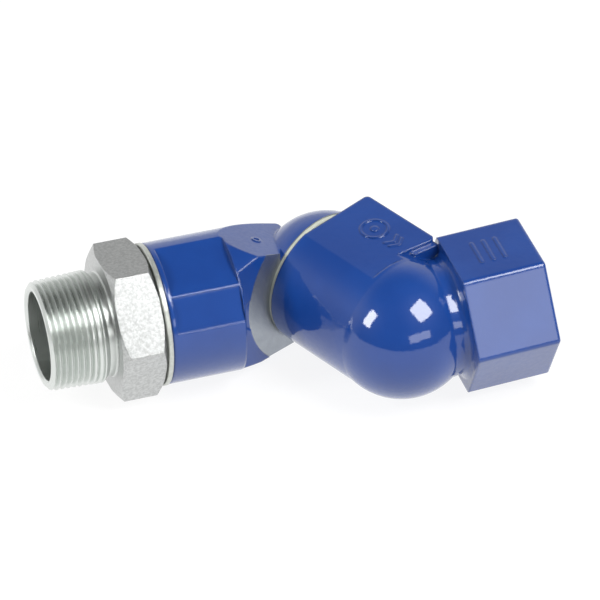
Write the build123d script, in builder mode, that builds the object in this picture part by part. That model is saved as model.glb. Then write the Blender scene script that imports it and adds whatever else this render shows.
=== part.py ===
from build123d import *
import math
import os

# Multi-plane swivel pipe fitting, 1-1/4 in NPT male by female, all lengths in mm.
# Origin: centre of the free end of the threaded nipple, +X along the inlet, +Z up.

# ---- joint geometry ----
JOINT_ANGLE = 65.0          # angle between either port and the swivel axis between the bodies
OUTLET_TWIST = 3.5          # rest turn of the outlet body about that axis
ELBOW_X = 112.3             # where the inlet axis meets the swivel axis
ELBOW_GAP = 40.1            # from the inlet elbow centre to the outlet elbow centre

# ---- nipple ----
THREAD_PITCH = 25.4 / 11.5
THREAD_TURNS = 9
THREAD_END_R = 20.65        # crest radius at the free end
THREAD_DEPTH = 1.75
TAPER = 1.0 / 32.0          # radius gained per mm, 1 in 16 on the diameter
NIPPLE_BORE_R = 16.8
NECK_R = 19.6
HEX_AF = 51.7
HEX_START = 25.2
HEX_END = 42.0
HEX_PHASE = 110.9
STEM_R = 19.0
STEM_BORE_R = 13.5
STEM_END = 66.3

# ---- swivel bearing, the same in both joints ----
RUN_GAP = 0.04
BORE_R = STEM_R + RUN_GAP
BALL_R = 2.38
BALL_TRACK_R = 2.42
BALL_PITCH_R = 19.02
BALL_COUNT = 24
SEAL_FLOOR_R = 16.6
SEAL_W = 3.0
ORING_HALF_W = 1.35
ORING_HALF_H = 1.2
BUSH_R = 21.5
WIPER_R = 23.0

# ---- inlet body ----
BARREL_R = 26.75
BARREL_START = 44.5
BARREL_END = 104.0
END_X = 94.0                # where the slanted barrel end crosses the inlet axis
END_SLANT = 0.336           # x gained per mm of y along that end
ELBOW_R = 26.2
FLAT_END = 72.5
CLEAR_R = 47.3
CAST_FACE = -3.6
SPOT_FACE = -4.0
SPOT_R = 36.0
BARREL_PAD = 11.0           # distance of the upper pad's plane from the swivel axis
BARREL_PAD_TILT = 22.5      # its tilt about that axis
WALL_BACK = -7.5            # inner side of the wall behind the joint face
CAVITY_R = 18.5
WASHER_THICK = 1.5
WASHER_R = 25.6

# ---- outlet body ----
BOSS_START = SPOT_FACE + WASHER_THICK + 0.05
BOSS_R = 26.2
PAD_TOP = 25.0
PAD_SIDE = 24.5
PAD_END_NEAR = 29.0
PAD_END_FAR = 34.3
LEDGE_TOP = 23.4
OUTLET_ELBOW_R = 26.5
NECK_START = 8.0
NECK_START_R = 23.3
NECK_END_R = 22.1
SOCKET_AF = 52.0
SOCKET_START = 20.1
SOCKET_END = 52.2
SOCKET_PHASE = 118.0
OUTLET_BORE_R = 14.2
TAP_R = 19.05
TAP_DEPTH = 24.0
SOCKET_ROOT_R = 21.1
SPIGOT_END = 19.35

cos_j = math.cos(math.radians(JOINT_ANGLE))
sin_j = math.sin(math.radians(JOINT_ANGLE))
swivel_dir = Vector(cos_j, -sin_j, 0)
inlet_elbow = Vector(ELBOW_X, 0, 0)
swivel_axis = Axis(inlet_elbow, swivel_dir)
outlet_elbow = inlet_elbow + swivel_dir * ELBOW_GAP
turn_axis = Axis((0, 0, 0), swivel_dir)
side_dir = Vector(sin_j, cos_j, 0)
outlet_side = side_dir.rotate(turn_axis, OUTLET_TWIST)
outlet_up = Vector(0, 0, 1).rotate(turn_axis, OUTLET_TWIST)
outlet_dir = Vector(1, 0, 0).rotate(turn_axis, OUTLET_TWIST)
outlet_axis = Axis(outlet_elbow, outlet_dir)

# faces across the swivel axis and sections along it, for either body
inlet_joint = Plane(origin=inlet_elbow, x_dir=side_dir, z_dir=swivel_dir)
outlet_joint = Plane(origin=inlet_elbow, x_dir=outlet_side, z_dir=swivel_dir)
swivel_section = Plane(origin=inlet_elbow, x_dir=swivel_dir, z_dir=side_dir * -1)
outlet_port = Plane(origin=outlet_elbow, x_dir=outlet_up.cross(outlet_dir), z_dir=outlet_dir)
outlet_section = Plane(origin=outlet_elbow, x_dir=outlet_dir, z_dir=outlet_dir.cross(outlet_up))

# axial stations measured from the mouth of each female half
WIPER_W = 2.4
BUSH_W = 3.6
BALL_AT = 9.2
SEAL_1_AT = 12.4
SEAL_2_AT = 16.5
BACKUP_W = 1.3
PLUG_R = 3.0
PLUG_HEAD_R = 4.2
PLUG_SEAT = 22.9
PLUG_TOP = 24.9

outlet_plug_plane = Plane(
    origin=inlet_elbow + swivel_dir * (BOSS_START + BALL_AT),
    x_dir=swivel_dir,
    z_dir=outlet_up * -1,
)
pad_plane = Plane(
    origin=inlet_elbow + outlet_up * PAD_TOP,
    x_dir=outlet_side,
    z_dir=outlet_up,
)
back_plane = Plane(
    origin=inlet_elbow - outlet_up * PAD_TOP,
    x_dir=outlet_side,
    z_dir=outlet_up,
)
face_lean = math.radians(SOCKET_PHASE - 120.0)
face_normal = outlet_up * math.cos(face_lean) + outlet_dir.cross(outlet_up) * math.sin(face_lean)
socket_face_plane = Plane(
    origin=outlet_elbow + outlet_dir * (SOCKET_START + 15.0) + face_normal * (SOCKET_AF / 2),
    x_dir=outlet_dir,
    z_dir=face_normal,
)

pad_tilt = math.radians(BARREL_PAD_TILT)
barrel_pad_normal = side_dir * math.sin(pad_tilt) + Vector(0, 0, 1) * math.cos(pad_tilt)
barrel_pad_plane = Plane(
    origin=inlet_elbow + barrel_pad_normal * BARREL_PAD,
    x_dir=swivel_dir,
    z_dir=barrel_pad_normal,
)

os.makedirs("parts", exist_ok=True)

# ---------------------------------------------------------------- inlet nipple
with BuildPart() as inlet_nipple:
    with BuildSketch(Plane.XZ):
        with BuildLine():
            Polyline(
                (0, NIPPLE_BORE_R + 0.8),
                (0, THREAD_END_R - 1.6),
                (1.4, THREAD_END_R + 1.4 * TAPER),
                (THREAD_TURNS * THREAD_PITCH + 0.6, THREAD_END_R + 20.5 * TAPER),
                (22.2, NECK_R),
                (HEX_START - 0.6, NECK_R),
                (HEX_START, NECK_R + 0.6),
                (HEX_START, 22.0),
                (HEX_END, 22.0),
                (HEX_END, 24.0),
                (HEX_END + 0.6, 24.0),
                (HEX_END + 0.6, STEM_R),
                (STEM_END - 1.0, STEM_R),
                (STEM_END, STEM_R - 1.0),
                (STEM_END, STEM_BORE_R),
                (40.0, STEM_BORE_R),
                (37.0, NIPPLE_BORE_R),
                (0.8, NIPPLE_BORE_R),
                close=True,
            )
        make_face()
    revolve(axis=Axis.X)
    # hexagon, turned to a cone at both ends
    with BuildSketch(Plane.YZ.offset(HEX_START)):
        RegularPolygon(HEX_AF / 2, 6, major_radius=False, rotation=HEX_PHASE)
        Circle(20.5, mode=Mode.SUBTRACT)
    extrude(amount=HEX_END - HEX_START)
    with BuildSketch(Plane.XZ):
        with BuildLine():
            Polyline(
                (HEX_START - 0.1, 26.0),
                (HEX_START + 2.3, 30.2),
                (HEX_END - 2.3, 30.2),
                (HEX_END + 0.1, 26.0),
                (HEX_END + 0.1, 34.0),
                (HEX_START - 0.1, 34.0),
                close=True,
            )
        make_face()
    revolve(axis=Axis.X, mode=Mode.SUBTRACT)
    # pipe thread grooves, shallower towards the run-out
    for turn in range(THREAD_TURNS):
        groove_x = 1.9 + turn * THREAD_PITCH
        crest_r = THREAD_END_R + groove_x * TAPER
        depth = THREAD_DEPTH if turn < 6 else THREAD_DEPTH - 0.35 * (turn - 5)
        half = depth * 0.577
        with BuildSketch(Plane.XZ):
            with BuildLine():
                Polyline(
                    (groove_x - half - 0.1, crest_r + 0.17),
                    (groove_x - 0.08, crest_r - depth),
                    (groove_x + 0.08, crest_r - depth),
                    (groove_x + half + 0.1, crest_r + 0.17),
                    close=True,
                )
            make_face()
        revolve(axis=Axis.X, mode=Mode.SUBTRACT)
    # ball track and the two seal grooves on the stem
    with BuildSketch(Plane.XZ):
        with Locations((BARREL_START + BALL_AT, BALL_PITCH_R)):
            Circle(BALL_TRACK_R)
    revolve(axis=Axis.X, mode=Mode.SUBTRACT)
    with BuildSketch(Plane.XZ):
        with Locations((BARREL_START + SEAL_1_AT + SEAL_W / 2, SEAL_FLOOR_R + 2)):
            Rectangle(SEAL_W, 4)
        with Locations((BARREL_START + SEAL_2_AT + (SEAL_W + BACKUP_W) / 2, SEAL_FLOOR_R + 2)):
            Rectangle(SEAL_W + BACKUP_W, 4)
    revolve(axis=Axis.X, mode=Mode.SUBTRACT)
inlet_nipple.part.label = "inlet_nipple"
export_step(inlet_nipple.part, "parts/inlet_nipple.step")

# ------------------------------------------------------- thrust washer, inlet
with BuildPart() as inlet_thrust_washer:
    with BuildSketch(Plane.YZ.offset(HEX_END + 0.6)):
        Circle(27.0)
        Circle(STEM_R + 0.03, mode=Mode.SUBTRACT)
    extrude(amount=BARREL_START - HEX_END - 0.65)
    chamfer(inlet_thrust_washer.edges().filter_by(GeomType.CIRCLE).group_by(SortBy.RADIUS)[-1], 0.3)
inlet_thrust_washer.part.label = "inlet_thrust_washer"
export_step(inlet_thrust_washer.part, "parts/inlet_thrust_washer.step")

# ------------------------------------------------------------ inlet seal rings
with BuildPart() as inlet_oring_front:
    with BuildSketch(Plane.XZ):
        with Locations((BARREL_START + SEAL_1_AT + SEAL_W / 2, 17.82)):
            Ellipse(ORING_HALF_W, ORING_HALF_H)
    revolve(axis=Axis.X)
inlet_oring_front.part.label = "inlet_oring_front"
export_step(inlet_oring_front.part, "parts/inlet_oring_front.step")

with BuildPart() as inlet_oring_rear:
    with BuildSketch(Plane.XZ):
        with Locations((BARREL_START + SEAL_2_AT + SEAL_W / 2, 17.82)):
            Ellipse(ORING_HALF_W, ORING_HALF_H)
    revolve(axis=Axis.X)
inlet_oring_rear.part.label = "inlet_oring_rear"
export_step(inlet_oring_rear.part, "parts/inlet_oring_rear.step")

with BuildPart() as inlet_backup_ring:
    with BuildSketch(Plane.YZ.offset(BARREL_START + SEAL_2_AT + SEAL_W)):
        Circle(STEM_R)
        Circle(SEAL_FLOOR_R + 0.02, mode=Mode.SUBTRACT)
    extrude(amount=BACKUP_W - 0.05)
inlet_backup_ring.part.label = "inlet_backup_ring"
export_step(inlet_backup_ring.part, "parts/inlet_backup_ring.step")

with BuildPart() as inlet_ball_set:
    with Locations(Plane.YZ.offset(BARREL_START + BALL_AT)):
        with PolarLocations(BALL_PITCH_R, BALL_COUNT):
            Sphere(BALL_R)
inlet_ball_set.part.label = "inlet_ball_set"
export_step(inlet_ball_set.part, "parts/inlet_ball_set.step")

# ------------------------------------------------------------------ inlet body
with BuildPart() as inlet_body:
    with BuildSketch(Plane.YZ.offset(BARREL_START)):
        Circle(BARREL_R)
    extrude(amount=BARREL_END - BARREL_START)
    with BuildSketch(Plane.XY.offset(-30)):
        with BuildLine():
            Polyline(
                (END_X - 30 * END_SLANT, -30),
                (BARREL_END + 4, -30),
                (BARREL_END + 4, 30),
                (END_X + 30 * END_SLANT, 30),
                close=True,
            )
        make_face()
    extrude(amount=60, mode=Mode.SUBTRACT)
    fillet(inlet_body.faces().sort_by(Axis.X)[-1].edges(), 2.0)
    chamfer(inlet_body.edges().group_by(Axis.X)[0], 0.6)
    # upper pad, tilted about the swivel axis
    with BuildSketch(barrel_pad_plane):
        Rectangle(120, 120)
    extrude(amount=30, mode=Mode.SUBTRACT)
    with Locations(Plane(origin=inlet_elbow, z_dir=(1, 0, 0))):
        Sphere(ELBOW_R)
    # wrench flats, a pair on either side
    with BuildSketch(Plane.YZ.offset(BARREL_START + 2.0)):
        for lean in (15.5, 195.5):
            swing = math.radians(lean)
            reach = 24.2 + 10
            with Locations(Location((-reach * math.sin(swing), reach * math.cos(swing)), lean)):
                Rectangle(60, 20)
        for lean in (57.0, 237.0):
            swing = math.radians(lean)
            reach = 25.7 + 10
            with Locations(Location((-reach * math.sin(swing), reach * math.cos(swing)), lean)):
                Rectangle(13.6, 20)
    extrude(amount=FLAT_END - BARREL_START - 2.0, mode=Mode.SUBTRACT)
    # flat below the elbow end of the barrel
    with BuildSketch(Plane.XY.offset(-25.0)):
        with Locations((93.0, 8.0)):
            Circle(20.1)
    extrude(amount=-4, mode=Mode.SUBTRACT)
    # foot that carries the joint face on along the underside
    with BuildSketch(inlet_joint.offset(-12)):
        with BuildLine():
            Polyline((-36, 0), (-36, -23.6), (-29, -25), (-3, -25), (0, -20), (0, 0), close=True)
        make_face()
    extrude(amount=12 + CAST_FACE)
    # clearance for the turning outlet body and the machined joint face
    with BuildSketch(inlet_joint.offset(CAST_FACE)):
        Circle(CLEAR_R)
    extrude(amount=70, mode=Mode.SUBTRACT)
    with BuildSketch(inlet_joint.offset(SPOT_FACE)):
        Circle(SPOT_R)
    extrude(amount=3, mode=Mode.SUBTRACT)
    # female bearing bore and the waterway, opened out inside the elbow
    with BuildSketch(Plane.XZ):
        with BuildLine():
            Polyline(
                (BARREL_START - 1, 0),
                (BARREL_START - 1, WIPER_R),
                (BARREL_START + WIPER_W, WIPER_R),
                (BARREL_START + WIPER_W, BUSH_R),
                (BARREL_START + WIPER_W + BUSH_W, BUSH_R),
                (BARREL_START + WIPER_W + BUSH_W, BORE_R),
                (STEM_END + 0.3, BORE_R),
                (STEM_END + 0.3, STEM_BORE_R),
                (ELBOW_X - 2, STEM_BORE_R),
                (ELBOW_X - 2, 0),
                close=True,
            )
        make_face()
    revolve(axis=Axis.X, mode=Mode.SUBTRACT)
    with BuildSketch(Plane.XZ):
        with Locations((BARREL_START + BALL_AT, BALL_PITCH_R)):
            Circle(BALL_TRACK_R)
    revolve(axis=Axis.X, mode=Mode.SUBTRACT)
    with Locations(Plane(origin=inlet_elbow, z_dir=(1, 0, 0))):
        Sphere(CAVITY_R, mode=Mode.SUBTRACT)
    # wall between the waterway and the joint face
    with BuildSketch(inlet_joint.offset(WALL_BACK)):
        Circle(20.0)
        with Locations((-22.0, 0)):
            Rectangle(44.0, 34.0)
    extrude(amount=SPOT_FACE - WALL_BACK)
    # spigot with ball track and seal grooves
    with BuildSketch(inlet_joint.offset(SPOT_FACE)):
        Circle(STEM_R)
    extrude(amount=SPIGOT_END - SPOT_FACE)
    chamfer(inlet_body.edges().filter_by(GeomType.CIRCLE).sort_by(swivel_axis)[-1], 1.0)
    with BuildSketch(swivel_section):
        with Locations((BOSS_START + BALL_AT, BALL_PITCH_R)):
            Circle(BALL_TRACK_R)
        with Locations((BOSS_START + SEAL_1_AT + SEAL_W / 2, SEAL_FLOOR_R + 2)):
            Rectangle(SEAL_W, 4)
        with Locations((BOSS_START + SEAL_2_AT + (SEAL_W + BACKUP_W) / 2, SEAL_FLOOR_R + 2)):
            Rectangle(SEAL_W + BACKUP_W, 4)
    revolve(axis=swivel_axis, mode=Mode.SUBTRACT)
    # waterway through the wall and the spigot
    with BuildSketch(inlet_joint.offset(-9)):
        Circle(STEM_BORE_R)
    extrude(amount=SPIGOT_END + 10, mode=Mode.SUBTRACT)
    # ball loading hole, underneath
    with BuildSketch(Plane.XY.offset(-STEM_R)):
        with Locations((BARREL_START + BALL_AT, 0)):
            Circle(PLUG_R)
    extrude(amount=-12, mode=Mode.SUBTRACT)
    with BuildSketch(Plane.XY.offset(-PLUG_SEAT)):
        with Locations((BARREL_START + BALL_AT, 0)):
            Circle(PLUG_HEAD_R)
    extrude(amount=-6, mode=Mode.SUBTRACT)
    # small cast dot on the upper pad
    with BuildSketch(barrel_pad_plane):
        with Locations((-15.9, -27.5)):
            Circle(1.9)
            Circle(1.2, mode=Mode.SUBTRACT)
    extrude(amount=0.35)
inlet_body.part.label = "inlet_body"
export_step(inlet_body.part, "parts/inlet_body.step")

with BuildPart() as inlet_wiper:
    with BuildSketch(Plane.YZ.offset(BARREL_START + 0.05)):
        Circle(WIPER_R)
        Circle(BORE_R + 0.02, mode=Mode.SUBTRACT)
    extrude(amount=WIPER_W - 0.05)
inlet_wiper.part.label = "inlet_wiper"
export_step(inlet_wiper.part, "parts/inlet_wiper.step")

with BuildPart() as inlet_bush:
    with BuildSketch(Plane.YZ.offset(BARREL_START + WIPER_W)):
        Circle(BUSH_R)
        Circle(BORE_R, mode=Mode.SUBTRACT)
    extrude(amount=BUSH_W)
inlet_bush.part.label = "inlet_bush"
export_step(inlet_bush.part, "parts/inlet_bush.step")

with BuildPart() as inlet_loading_plug:
    with BuildSketch(Plane.XY.offset(-PLUG_SEAT - 0.6)):
        with Locations((BARREL_START + BALL_AT, 0)):
            Circle(PLUG_HEAD_R - 0.03)
    extrude(amount=-(PLUG_TOP - PLUG_SEAT - 0.6))
    with BuildSketch(Plane.XY.offset(-21.5)):
        with Locations((BARREL_START + BALL_AT, 0)):
            Circle(PLUG_R - 0.03)
    extrude(amount=-(PLUG_SEAT + 0.6 - 21.5))
    with BuildSketch(Plane.XY.offset(-PLUG_TOP)):
        with Locations((BARREL_START + BALL_AT, 0)):
            RegularPolygon(1.5, 6, major_radius=False)
    extrude(amount=2.0, mode=Mode.SUBTRACT)
inlet_loading_plug.part.label = "inlet_loading_plug"
export_step(inlet_loading_plug.part, "parts/inlet_loading_plug.step")

with BuildPart() as inlet_plug_seal:
    with BuildSketch(Plane.XY.offset(-PLUG_SEAT)):
        with Locations((BARREL_START + BALL_AT, 0)):
            Circle(PLUG_HEAD_R - 0.03)
            Circle(PLUG_R, mode=Mode.SUBTRACT)
    extrude(amount=-0.6)
inlet_plug_seal.part.label = "inlet_plug_seal"
export_step(inlet_plug_seal.part, "parts/inlet_plug_seal.step")

# ------------------------------------------------- rings of the swivel between
with BuildPart() as joint_thrust_washer:
    with BuildSketch(inlet_joint.offset(SPOT_FACE)):
        Circle(WASHER_R)
        Circle(STEM_R + 0.03, mode=Mode.SUBTRACT)
    extrude(amount=WASHER_THICK)
joint_thrust_washer.part.label = "joint_thrust_washer"
export_step(joint_thrust_washer.part, "parts/joint_thrust_washer.step")

with BuildPart() as joint_oring_front:
    with BuildSketch(swivel_section):
        with Locations((BOSS_START + SEAL_1_AT + SEAL_W / 2, 17.82)):
            Ellipse(ORING_HALF_W, ORING_HALF_H)
    revolve(axis=swivel_axis)
joint_oring_front.part.label = "joint_oring_front"
export_step(joint_oring_front.part, "parts/joint_oring_front.step")

with BuildPart() as joint_oring_rear:
    with BuildSketch(swivel_section):
        with Locations((BOSS_START + SEAL_2_AT + SEAL_W / 2, 17.82)):
            Ellipse(ORING_HALF_W, ORING_HALF_H)
    revolve(axis=swivel_axis)
joint_oring_rear.part.label = "joint_oring_rear"
export_step(joint_oring_rear.part, "parts/joint_oring_rear.step")

with BuildPart() as joint_backup_ring:
    with BuildSketch(inlet_joint.offset(BOSS_START + SEAL_2_AT + SEAL_W)):
        Circle(STEM_R)
        Circle(SEAL_FLOOR_R + 0.02, mode=Mode.SUBTRACT)
    extrude(amount=BACKUP_W - 0.05)
joint_backup_ring.part.label = "joint_backup_ring"
export_step(joint_backup_ring.part, "parts/joint_backup_ring.step")

with BuildPart() as joint_ball_set:
    with Locations(inlet_joint.offset(BOSS_START + BALL_AT)):
        with PolarLocations(BALL_PITCH_R, BALL_COUNT):
            Sphere(BALL_R)
joint_ball_set.part.label = "joint_ball_set"
export_step(joint_ball_set.part, "parts/joint_ball_set.step")

# ----------------------------------------------------------------- outlet body
with BuildPart() as outlet_body:
    with BuildSketch(outlet_joint.offset(BOSS_START)):
        Circle(BOSS_R)
    extrude(amount=ELBOW_GAP - BOSS_START)
    # squared back of the casting, its end slanted towards the outlet
    with BuildSketch(back_plane) as back_block:
        with BuildLine():
            Polyline(
                (0, -BOSS_START),
                (PAD_SIDE, -BOSS_START),
                (PAD_SIDE, -PAD_END_FAR),
                (0, -PAD_END_NEAR),
                close=True,
            )
        make_face()
        fillet(back_block.vertices().group_by(Axis.X)[-1], 1.8)
    extrude(amount=2 * PAD_TOP)
    # lower ledge past the end of the pad
    with BuildSketch(back_plane.offset(PAD_TOP - LEDGE_TOP)):
        with BuildLine():
            Polyline(
                (12.5, -28.0),
                (PAD_SIDE - 0.5, -28.0),
                (PAD_SIDE - 0.5, -PAD_END_FAR - 1.9),
                (14.0, -PAD_END_FAR + 0.3),
                close=True,
            )
        make_face()
    extrude(amount=2 * LEDGE_TOP)
    with Locations(outlet_port):
        Sphere(OUTLET_ELBOW_R)
    # flat pads above and below
    with BuildSketch(outlet_joint.offset(BOSS_START - 1)):
        for level in (1, -1):
            with Locations((10, level * (PAD_TOP + 3))):
                Rectangle(40, 6)
    extrude(amount=PAD_END_FAR - BOSS_START + 1, mode=Mode.SUBTRACT)
    with BuildSketch(outlet_section):
        with BuildLine():
            Polyline(
                (0, 0),
                (0, NECK_START_R),
                (NECK_START, NECK_START_R),
                (SOCKET_START - 2.6, NECK_END_R),
                (SOCKET_START - 0.9, NECK_END_R + 0.7),
                (SOCKET_START, NECK_END_R + 2.4),
                (SOCKET_START + 1, NECK_END_R + 2.4),
                (SOCKET_START + 1, 0),
                close=True,
            )
        make_face()
    revolve(axis=outlet_axis)
    # wrench hexagon of the outlet with cast corners
    with BuildSketch(outlet_port.offset(SOCKET_START)) as socket_hex:
        RegularPolygon(SOCKET_AF / 2, 6, major_radius=False, rotation=SOCKET_PHASE)
        fillet(socket_hex.vertices(), 2.0)
    extrude(amount=SOCKET_END - SOCKET_START)
    fillet(outlet_body.faces().sort_by(outlet_axis)[-1].edges(), 1.2)
    # female bearing bore, ball track and waterway
    with BuildSketch(swivel_section):
        with BuildLine():
            Polyline(
                (BOSS_START - 1, 0),
                (BOSS_START - 1, WIPER_R),
                (BOSS_START + WIPER_W, WIPER_R),
                (BOSS_START + WIPER_W, BUSH_R),
                (BOSS_START + WIPER_W + BUSH_W, BUSH_R),
                (BOSS_START + WIPER_W + BUSH_W, BORE_R),
                (SPIGOT_END + 0.3, BORE_R),
                (SPIGOT_END + 0.3, STEM_BORE_R),
                (ELBOW_GAP + 6, STEM_BORE_R),
                (ELBOW_GAP + 6, 0),
                close=True,
            )
        make_face()
    revolve(axis=swivel_axis, mode=Mode.SUBTRACT)
    with BuildSketch(swivel_section):
        with Locations((BOSS_START + BALL_AT, BALL_PITCH_R)):
            Circle(BALL_TRACK_R)
    revolve(axis=swivel_axis, mode=Mode.SUBTRACT)
    # tapped socket: straight drilled wall with pipe thread grooves
    with BuildSketch(outlet_section):
        with BuildLine():
            Polyline(
                (0, 0),
                (0, OUTLET_BORE_R),
                (SOCKET_END - TAP_DEPTH - 3, OUTLET_BORE_R),
                (SOCKET_END - TAP_DEPTH, TAP_R),
                (SOCKET_END - 2.2, TAP_R),
                (SOCKET_END + 0.2, TAP_R + 2.4),
                (SOCKET_END + 0.2, 0),
                close=True,
            )
        make_face()
    revolve(axis=outlet_axis, mode=Mode.SUBTRACT)
    for turn in range(8):
        groove_x = SOCKET_END - 3.4 - turn * THREAD_PITCH
        root_r = SOCKET_ROOT_R - (3.4 + turn * THREAD_PITCH) * TAPER
        half = (root_r - TAP_R) * 0.577
        with BuildSketch(outlet_section):
            with BuildLine():
                Polyline(
                    (groove_x - half - 0.1, TAP_R - 0.17),
                    (groove_x - 0.08, root_r),
                    (groove_x + 0.08, root_r),
                    (groove_x + half + 0.1, TAP_R - 0.17),
                    close=True,
                )
            make_face()
        revolve(axis=outlet_axis, mode=Mode.SUBTRACT)
    # ball loading hole, underneath
    with BuildSketch(outlet_plug_plane.offset(STEM_R)):
        Circle(PLUG_R)
    extrude(amount=12, mode=Mode.SUBTRACT)
    with BuildSketch(outlet_plug_plane.offset(PLUG_SEAT)):
        Circle(PLUG_HEAD_R)
    extrude(amount=6, mode=Mode.SUBTRACT)
    # plain raised ring and chevrons on the upper pad
    with BuildSketch(pad_plane):
        with Locations((12.5, -14.0)):
            Circle(5.6)
            Circle(4.7, mode=Mode.SUBTRACT)
            Circle(1.6)
        for step in (0, 1):
            with BuildLine():
                Polyline(
                    (9.0, -22.0 - 2.6 * step),
                    (12.5, -24.2 - 2.6 * step),
                    (16.0, -22.0 - 2.6 * step),
                    (16.0, -23.1 - 2.6 * step),
                    (12.5, -25.3 - 2.6 * step),
                    (9.0, -23.1 - 2.6 * step),
                    close=True,
                )
            make_face()
    extrude(amount=0.4)
    # three plain raised bars on the uppermost wrench face
    with BuildSketch(socket_face_plane):
        for row in (-1, 0, 1):
            with Locations((4.5 * row, 0)):
                SlotOverall(13.0, 1.3, rotation=90)
    extrude(amount=0.4)
outlet_body.part.label = "outlet_body"
export_step(outlet_body.part, "parts/outlet_body.step")

with BuildPart() as joint_wiper:
    with BuildSketch(outlet_joint.offset(BOSS_START + 0.05)):
        Circle(WIPER_R)
        Circle(BORE_R + 0.02, mode=Mode.SUBTRACT)
    extrude(amount=WIPER_W - 0.05)
joint_wiper.part.label = "joint_wiper"
export_step(joint_wiper.part, "parts/joint_wiper.step")

with BuildPart() as joint_bush:
    with BuildSketch(outlet_joint.offset(BOSS_START + WIPER_W)):
        Circle(BUSH_R)
        Circle(BORE_R, mode=Mode.SUBTRACT)
    extrude(amount=BUSH_W)
joint_bush.part.label = "joint_bush"
export_step(joint_bush.part, "parts/joint_bush.step")

with BuildPart() as joint_loading_plug:
    with BuildSketch(outlet_plug_plane.offset(PLUG_SEAT + 0.6)):
        Circle(PLUG_HEAD_R - 0.03)
    extrude(amount=PLUG_TOP - PLUG_SEAT - 0.6)
    with BuildSketch(outlet_plug_plane.offset(21.5)):
        Circle(PLUG_R - 0.03)
    extrude(amount=PLUG_SEAT + 0.6 - 21.5)
    with BuildSketch(outlet_plug_plane.offset(PLUG_TOP)):
        RegularPolygon(1.5, 6, major_radius=False)
    extrude(amount=-2.0, mode=Mode.SUBTRACT)
joint_loading_plug.part.label = "joint_loading_plug"
export_step(joint_loading_plug.part, "parts/joint_loading_plug.step")

with BuildPart() as joint_plug_seal:
    with BuildSketch(outlet_plug_plane.offset(PLUG_SEAT)):
        Circle(PLUG_HEAD_R - 0.03)
        Circle(PLUG_R, mode=Mode.SUBTRACT)
    extrude(amount=0.6)
joint_plug_seal.part.label = "joint_plug_seal"
export_step(joint_plug_seal.part, "parts/joint_plug_seal.step")
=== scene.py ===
import math

import bpy
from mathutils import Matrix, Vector

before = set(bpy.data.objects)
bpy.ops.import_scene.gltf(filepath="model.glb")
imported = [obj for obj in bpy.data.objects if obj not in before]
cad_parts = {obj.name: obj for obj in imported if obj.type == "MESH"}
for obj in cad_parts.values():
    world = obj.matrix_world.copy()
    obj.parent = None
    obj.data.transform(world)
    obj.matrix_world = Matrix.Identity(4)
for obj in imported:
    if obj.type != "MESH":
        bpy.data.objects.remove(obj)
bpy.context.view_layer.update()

# ---- axes and machined surfaces of the castings, in metres in the row frame ----
JOINT_POINT = Vector((0.1123, 0.0, 0.0))
JOINT_DIR = Vector((math.cos(math.radians(65)), -math.sin(math.radians(65)), 0.0))
OUTLET_POINT = Vector((0.12925, -0.03634, 0.0))
OUTLET_DIR = Vector((0.99847, -0.0007, 0.0553))
SPOT_RADIUS = 0.0360
SPOT_LEVEL = -0.00385
SPOT_BAND = 0.0003
SPIGOT_RADIUS = 0.0195
TAPPED_RADIUS = 0.0216
TAPPED_FROM = 0.0120
BEARING_RADIUS = 0.0240
BEARING_TO = 0.0260
TURNING_PITCH = 0.00035

# ---- camera: the photographed three-quarter view, long lens ----
CAMERA_AZIMUTH = -18.0
CAMERA_ELEVATION = 37.5
CAMERA_DISTANCE = 1.85
CAMERA_LENS = 300.0
CAMERA_AIM = Vector((0.0956, -0.0188, 0.0081))
CAMERA_FAR = 20.0
FLOOR_Z = -0.0300
FLOOR_SIZE = 8.0

# ---- light levels ----
WORLD_LEVEL = 0.50
ROOM_LEVEL = 0.07
BACKDROP_LEVEL = 0.62
FLOOR_GLOW = 0.88
KEY_POWER = 12.0
LEFT_POWER = 6.5
FRONT_POWER = 2.0

# ---- hexagon of the nipple, along X in metres: each end fades over a short band ----
HEX_NEAR = (0.0246, 0.0252)
HEX_FAR = (0.0426, 0.0422)

# ---- paint ----
BLUE_DARK = (0.0058, 0.042, 0.220)
BLUE_LIGHT = (0.0072, 0.050, 0.250)
COAT_IOR = 1.62
COAT_ROUGH = 0.04
PAINT_SPECULAR = 0.12
BARE_SPECULAR = 0.5
BARE_METALLIC = 0.9
BARE_ROUGH = 0.26


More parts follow.
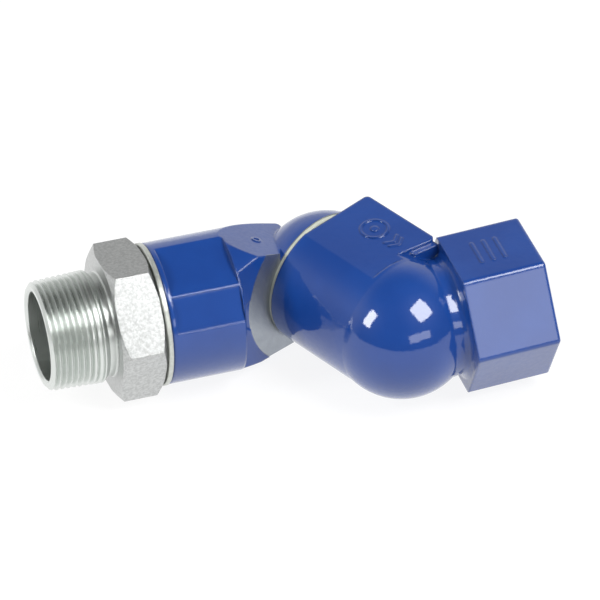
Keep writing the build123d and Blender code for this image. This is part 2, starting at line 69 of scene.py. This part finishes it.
# ------------------------------------------------------------ shader helpers
class Shader:
    """A material with short calls for its nodes."""

    def __init__(self, name):
        self.material = bpy.data.materials.new(name)
        self.material.use_nodes = True
        self.tree = self.material.node_tree
        self.tree.nodes.clear()
        self.out = self.tree.nodes.new("ShaderNodeOutputMaterial")
        self.bsdf = self.tree.nodes.new("ShaderNodeBsdfPrincipled")
        self.tree.links.new(self.bsdf.outputs[0], self.out.inputs[0])
        self.coords = self.tree.nodes.new("ShaderNodeTexCoord").outputs["Object"]

    def put(self, value, socket):
        if isinstance(value, bpy.types.NodeSocket):
            self.tree.links.new(value, socket)
        else:
            socket.default_value = value

    def math(self, operation, a, b=0.0, c=0.0):
        node = self.tree.nodes.new("ShaderNodeMath")
        node.operation = operation
        for value, socket in zip((a, b, c), node.inputs):
            self.put(value, socket)
        return node.outputs[0]

    def vector(self, operation, a, b=(0, 0, 0), scale=None):
        node = self.tree.nodes.new("ShaderNodeVectorMath")
        node.operation = operation
        self.put(a, node.inputs[0])
        self.put(b, node.inputs[1])
        if scale is not None:
            self.put(scale, node.inputs[3])
        index = 1 if operation in ("DOT_PRODUCT", "LENGTH") else 0
        return node.outputs[index]

    def noise(self, scale, detail=3.0, rough=0.5, stretch=None):
        node = self.tree.nodes.new("ShaderNodeTexNoise")
        node.inputs["Scale"].default_value = scale
        node.inputs["Detail"].default_value = detail
        node.inputs["Roughness"].default_value = rough
        source = self.coords
        if stretch is not None:
            source = self.vector("MULTIPLY", source, stretch)
        self.tree.links.new(source, node.inputs["Vector"])
        return node.outputs["Fac"]

    def ramp(self, value, low, high, to_low=0.0, to_high=1.0):
        node = self.tree.nodes.new("ShaderNodeMapRange")
        node.interpolation_type = "SMOOTHSTEP"
        for item, socket in zip((value, low, high, to_low, to_high), node.inputs):
            self.put(item, socket)
        return node.outputs[0]

    def mix(self, factor, a, b):
        node = self.tree.nodes.new("ShaderNodeMix")
        node.data_type = "RGBA"
        self.put(factor, node.inputs[0])
        self.put(a if isinstance(a, bpy.types.NodeSocket) else (*a, 1.0), node.inputs[6])
        self.put(b if isinstance(b, bpy.types.NodeSocket) else (*b, 1.0), node.inputs[7])
        return node.outputs[2]

    def mix_value(self, factor, a, b):
        rest = self.math("MULTIPLY", self.math("SUBTRACT", 1.0, factor), a)
        return self.math("ADD", rest, self.math("MULTIPLY", factor, b))

    def mix_vector(self, factor, a, b):
        node = self.tree.nodes.new("ShaderNodeMix")
        node.data_type = "VECTOR"
        self.put(factor, node.inputs[0])
        self.put(a, node.inputs[4])
        self.put(b, node.inputs[5])
        return node.outputs[1]

    def both(self, a, b):
        """1 where both masks are 1."""
        return self.math("MULTIPLY", a, b)

    def bump(self, height, distance, normal=None, strength=1.0):
        node = self.tree.nodes.new("ShaderNodeBump")
        node.inputs["Distance"].default_value = distance
        self.put(strength, node.inputs["Strength"])
        self.tree.links.new(height, node.inputs["Height"])
        if normal is not None:
            self.tree.links.new(normal, node.inputs["Normal"])
        return node.outputs[0]

    def soft_edges(self, radius):
        node = self.tree.nodes.new("ShaderNodeBevel")
        node.samples = 6
        node.inputs["Radius"].default_value = radius
        return node.outputs[0]

    def set(self, **values):
        names = {
            "color": "Base Color", "metallic": "Metallic", "rough": "Roughness", "normal": "Normal",
            "coat": "Coat Weight", "coat_rough": "Coat Roughness", "coat_normal": "Coat Normal",
            "specular": "Specular IOR Level", "coat_ior": "Coat IOR",
        }
        for key, value in values.items():
            socket = self.bsdf.inputs[names[key]]
            if key == "color" and not isinstance(value, bpy.types.NodeSocket):
                value = (*value, 1.0)
            self.put(value, socket)
        return self.material


def from_axis(shader, point, direction):
    """Distance from an axis and place along it."""
    offset = shader.vector("SUBTRACT", shader.coords, tuple(point))
    along = shader.vector("DOT_PRODUCT", offset, tuple(direction))
    on_axis = shader.vector("SCALE", tuple(direction), scale=along)
    radius = shader.vector("LENGTH", shader.vector("SUBTRACT", offset, on_axis))
    return radius, along


def joint_face(shader):
    """The spot face and spigot on the inlet casting, bare after machining."""
    radius, along = from_axis(shader, JOINT_POINT, JOINT_DIR)
    depth = shader.math("SUBTRACT", along, SPOT_LEVEL - SPOT_BAND / 2)
    on_face = shader.math("LESS_THAN", shader.math("ABSOLUTE", depth), SPOT_BAND)
    face = shader.both(on_face, shader.math("LESS_THAN", radius, SPOT_RADIUS))
    above = shader.math("GREATER_THAN", along, SPOT_LEVEL)
    spigot = shader.both(above, shader.math("LESS_THAN", radius, SPIGOT_RADIUS))
    return radius, shader.math("MAXIMUM", face, spigot)


def outlet_bores(shader):
    """The tapped outlet and the bearing bore of the outlet casting, bare after machining."""
    radius, along = from_axis(shader, OUTLET_POINT, OUTLET_DIR)
    beyond_elbow = shader.math("GREATER_THAN", along, TAPPED_FROM)
    tapped = shader.both(beyond_elbow, shader.math("LESS_THAN", radius, TAPPED_RADIUS))
    joint_radius, joint_along = from_axis(shader, JOINT_POINT, JOINT_DIR)
    in_boss = shader.math("LESS_THAN", joint_along, BEARING_TO)
    bearing = shader.both(in_boss, shader.math("LESS_THAN", joint_radius, BEARING_RADIUS))
    return radius, shader.math("MAXIMUM", tapped, bearing)


def coating(name, machined):
    """Thick glossy blue powder coat, left off where the machined mask says so."""
    s = Shader(name)
    edges = s.soft_edges(0.0011)
    peel = s.noise(430, 2.0, 0.45)
    ripple = s.noise(85, 1.0, 0.4)
    height = s.math("ADD", s.math("MULTIPLY", peel, 0.55), s.math("MULTIPLY", ripple, 0.9))
    normal = s.bump(height, 0.00016, edges, 0.42)
    tone = s.ramp(s.noise(35, 3.0), 0.35, 0.7)
    color = s.mix(tone, BLUE_DARK, BLUE_LIGHT)
    rough = s.ramp(s.noise(600, 2.0), 0.3, 0.7, 0.38, 0.46)
    radius, bare = machined(s)
    rings = s.math("SINE", s.math("MULTIPLY", radius, 2 * math.pi / TURNING_PITCH))
    turned = s.bump(s.math("ADD", s.math("MULTIPLY", rings, 0.5), s.noise(300, 2.0)), 0.00002)
    steel = s.mix(s.noise(260, 3.0), (0.30, 0.33, 0.37), (0.41, 0.44, 0.48))
    surface = s.mix_vector(bare, normal, turned)
    return s.set(
        color=s.mix(bare, color, steel),
        metallic=s.math("MULTIPLY", bare, BARE_METALLIC),
        rough=s.mix_value(bare, rough, BARE_ROUGH),
        normal=surface,
        coat=s.math("SUBTRACT", 1.0, bare),
        coat_rough=COAT_ROUGH,
        coat_ior=COAT_IOR,
        coat_normal=surface,
        specular=s.mix_value(bare, PAINT_SPECULAR, BARE_SPECULAR),
    )


def plated_nipple():
    """Bright turned steel on thread and neck, speckled satin plate on the hexagon."""
    s = Shader("bright_zinc_plate")
    x = s.vector("DOT_PRODUCT", s.coords, (1, 0, 0))
    on_hex = s.both(s.ramp(x, *HEX_NEAR), s.ramp(x, *HEX_FAR))
    speckle = s.noise(900, 4.0, 0.7)
    lathe = s.noise(1.0, 2.0, 0.5, stretch=(2600, 60, 60))
    edges = s.soft_edges(0.0003)
    hex_normal = s.bump(speckle, 0.00006, edges, 0.6)
    lathe_normal = s.bump(lathe, 0.000005, edges, 0.4)
    tint = s.mix(s.noise(120, 3.0), (0.64, 0.67, 0.645), (0.76, 0.79, 0.765))
    hex_tint = s.mix(s.ramp(speckle, 0.35, 0.65), (0.44, 0.45, 0.445), (0.60, 0.61, 0.605))
    lathe_rough = s.ramp(lathe, 0.3, 0.7, 0.27, 0.35)
    hex_rough = s.ramp(speckle, 0.3, 0.7, 0.30, 0.42)
    return s.set(
        color=s.mix(on_hex, tint, hex_tint),
        metallic=1.0,
        rough=s.mix_value(on_hex, lathe_rough, hex_rough),
        normal=s.mix_vector(on_hex, lathe_normal, hex_normal),
    )


def simple(name, dark, light, metallic, rough_low, rough_high, scale, distance):
    """Fine-grained material for the small pieces."""
    s = Shader(name)
    grain = s.noise(scale, 4.0, 0.6)
    return s.set(
        color=s.mix(s.ramp(grain, 0.3, 0.7), dark, light),
        metallic=metallic,
        rough=s.ramp(grain, 0.3, 0.7, rough_low, rough_high),
        normal=s.bump(grain, distance, s.soft_edges(0.00015), 0.5),
    )


MATERIALS = {
    "inlet_nipple": plated_nipple(),
    "inlet_body": coating("blue_coat_and_bare_face", joint_face),
    "outlet_body": coating("blue_coat_and_bare_bores", outlet_bores),
    "inlet_thrust_washer": simple(
        "pale_washer", (0.50, 0.52, 0.48), (0.60, 0.62, 0.58),
        0.6, 0.30, 0.40, 700, 0.00002,
    ),
    "joint_thrust_washer": simple(
        "cream_polymer", (0.44, 0.46, 0.39), (0.52, 0.54, 0.46),
        0.0, 0.42, 0.55, 500, 0.00002,
    ),
}
FAMILIES = {
    "oring": simple(
        "black_nitrile", (0.012, 0.012, 0.013), (0.03, 0.03, 0.03),
        0.0, 0.35, 0.5, 800, 0.00002,
    ),
    "wiper": simple(
        "black_wiper", (0.015, 0.015, 0.016), (0.035, 0.035, 0.036),
        0.0, 0.4, 0.55, 700, 0.00002,
    ),
    "plug_seal": simple(
        "seal_rubber", (0.02, 0.02, 0.02), (0.04, 0.04, 0.04),
        0.0, 0.4, 0.5, 900, 0.00001,
    ),
    "ball_set": simple(
        "ball_steel", (0.70, 0.70, 0.72), (0.82, 0.82, 0.84),
        1.0, 0.06, 0.12, 400, 0.000002,
    ),
    "bush": simple(
        "plain_bronze", (0.45, 0.28, 0.10), (0.62, 0.42, 0.18),
        1.0, 0.25, 0.38, 500, 0.00001,
    ),
    "backup": simple(
        "white_polymer", (0.78, 0.78, 0.75), (0.88, 0.88, 0.86),
        0.0, 0.4, 0.5, 500, 0.00001,
    ),
    "loading_plug": simple(
        "plug_zinc", (0.48, 0.49, 0.48), (0.62, 0.63, 0.62),
        1.0, 0.25, 0.38, 600, 0.00002,
    ),
}

for name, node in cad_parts.items():
    material = MATERIALS.get(name)
    if material is None:
        material = next(FAMILIES[family] for family in FAMILIES if family in name)
    node.data.materials.clear()
    node.data.materials.append(material)


# ------------------------------------------------------------------- studio
def area(name, direction, distance, size, power):
    """A soft box aimed at the part."""
    light = bpy.data.lights.new(name, "AREA")
    light.shape = "RECTANGLE"
    light.size, light.size_y = size
    light.energy = power
    lamp = bpy.data.objects.new(name, light)
    bpy.context.scene.collection.objects.link(lamp)
    lamp.location = CAMERA_AIM + direction * distance
    lamp.rotation_euler = (CAMERA_AIM - lamp.location).to_track_quat("-Z", "Y").to_euler()


def heading(azimuth, elevation):
    """Unit vector from the part towards a compass direction; azimuth 0 is -Y, positive towards +X."""
    a, e = math.radians(azimuth), math.radians(elevation)
    return Vector((math.sin(a) * math.cos(e), -math.cos(a) * math.cos(e), math.sin(e)))


# world: white to the camera, soft light on matt surfaces, a dim room in reflections
world = bpy.data.worlds.new("studio")
bpy.context.scene.world = world
world.use_nodes = True
tree = world.node_tree
sky = tree.nodes["Background"]
sky.inputs[0].default_value = (1.0, 1.0, 1.0, 1.0)
rays = tree.nodes.new("ShaderNodeLightPath")


def world_ramp(value, low, high, to_low, to_high):
    node = tree.nodes.new("ShaderNodeMapRange")
    node.interpolation_type = "SMOOTHSTEP"
    tree.links.new(value, node.inputs[0])
    for item, socket in zip((low, high, to_low, to_high), list(node.inputs)[1:]):
        socket.default_value = item
    return node.outputs[0]


split = tree.nodes.new("ShaderNodeSeparateXYZ")
tree.links.new(tree.nodes.new("ShaderNodeTexCoord").outputs["Generated"], split.inputs[0])
behind = world_ramp(split.outputs["Y"], -0.10, 0.45, 0.0, 1.0)
low = world_ramp(split.outputs["Z"], 0.30, 0.88, BACKDROP_LEVEL, 0.0)
backdrop = tree.nodes.new("ShaderNodeMath")
backdrop.operation = "MULTIPLY_ADD"
tree.links.new(behind, backdrop.inputs[0])
tree.links.new(low, backdrop.inputs[1])
backdrop.inputs[2].default_value = ROOM_LEVEL
level = tree.nodes.new("ShaderNodeMix")
tree.links.new(rays.outputs["Is Glossy Ray"], level.inputs[0])
level.inputs[2].default_value = WORLD_LEVEL
tree.links.new(backdrop.outputs[0], level.inputs[3])
seen = tree.nodes.new("ShaderNodeMath")
seen.operation = "MAXIMUM"
tree.links.new(level.outputs[0], seen.inputs[0])
tree.links.new(rays.outputs["Is Camera Ray"], seen.inputs[1])
tree.links.new(seen.outputs[0], sky.inputs[1])

bpy.ops.mesh.primitive_plane_add(size=FLOOR_SIZE, location=(0.1, 0.0, FLOOR_Z))
floor = bpy.context.object
floor.name = "studio_floor"
paper = Shader("white_paper")
paper.bsdf.inputs["Emission Color"].default_value = (1.0, 1.0, 1.0, 1.0)
paper.bsdf.inputs["Emission Strength"].default_value = FLOOR_GLOW
fibre = paper.noise(240, 3.0)
paper_color = paper.mix(fibre, (0.14, 0.14, 0.14), (0.16, 0.16, 0.16))
floor.data.materials.append(paper.set(color=paper_color, rough=0.9, specular=0.0))

area("key_box", heading(40, 52), 1.2, (0.60, 0.56), KEY_POWER)
area("left_box", heading(-84, 33), 1.2, (0.30, 0.50), LEFT_POWER)
area("front_box", heading(14, 18), 1.3, (0.80, 0.26), FRONT_POWER)

camera_data = bpy.data.cameras.new("camera")
camera_data.lens = CAMERA_LENS
camera_data.clip_end = CAMERA_FAR
camera = bpy.data.objects.new("camera", camera_data)
bpy.context.scene.collection.objects.link(camera)
camera.location = CAMERA_AIM + heading(CAMERA_AZIMUTH, CAMERA_ELEVATION) * CAMERA_DISTANCE
camera.rotation_euler = (CAMERA_AIM - camera.location).to_track_quat("-Z", "Y").to_euler()
bpy.context.scene.camera = camera

# pure studio whites and saturated paint need the plain display curve
bpy.context.scene.view_settings.view_transform = "Standard"
